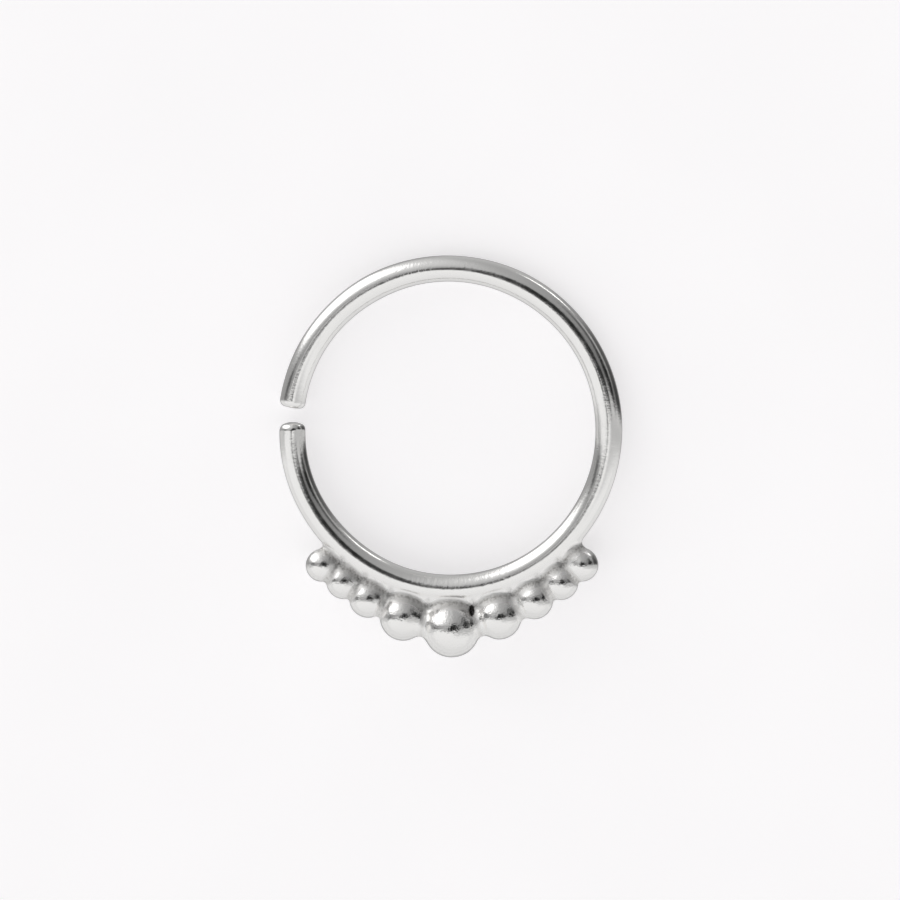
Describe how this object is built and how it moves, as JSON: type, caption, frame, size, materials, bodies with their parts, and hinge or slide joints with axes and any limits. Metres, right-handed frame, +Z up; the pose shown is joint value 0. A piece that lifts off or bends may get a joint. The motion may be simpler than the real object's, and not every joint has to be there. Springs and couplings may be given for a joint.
{
  "type": "nose ring",
  "caption": "Seamless hoop of round silver wire, open by a small gap, with a row of graduated beads soldered side by side along its outer edge.",
  "frame": {"origin": "middle of the footprint, on the ground that the ring lies on", "axes": "+Z up, away from the ground; +Y across the hoop, away from the row of beads; -X towards the gap between the wire's ends"},
  "size_m": [0.0106, 0.0124, 0.0017],
  "materials": {
    "silver": "polished"
  },
  "bodies": {
    "root": {"beaded_hoop": "silver"}
  },
  "joints": []
}
